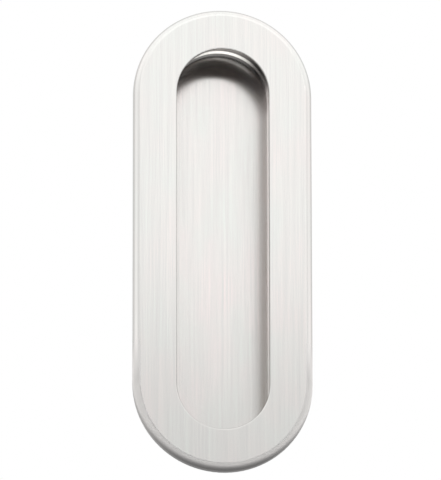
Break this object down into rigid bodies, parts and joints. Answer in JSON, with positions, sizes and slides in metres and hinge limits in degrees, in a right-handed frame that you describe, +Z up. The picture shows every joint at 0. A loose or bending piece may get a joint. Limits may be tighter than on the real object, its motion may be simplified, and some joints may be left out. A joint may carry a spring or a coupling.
{
  "type": "pocket door pull",
  "caption": "Oval flush pull for a pocket door: a brushed cover plate with a rounded rim, a set-back finger tray, and a hidden mounting frame held by wood screws.",
  "frame": {"origin": "centre of the screw pattern, in the plane of the door's face that the pull's back rests on", "axes": "+Z up the door along the pull's length, +Y into the door, so the face looks along -Y, and +X across the pull to the right as seen from the front"},
  "size_m": [0.06, 0.0178, 0.16],
  "materials": {
    "cover_steel": "satin, brushed along the plate's length",
    "tray_steel": "satin, brushed along the tray's length",
    "frame_nylon": "moulded, fine matt texture",
    "screw_steel": "zinc plated"
  },
  "bodies": {
    "root": {"cover_plate": "cover_steel", "tray": "tray_steel", "mounting_frame": "frame_nylon", "screw_bottom_left": "screw_steel", "screw_top_left": "screw_steel", "screw_bottom_right": "screw_steel", "screw_top_right": "screw_steel"}
  },
  "joints": []
}
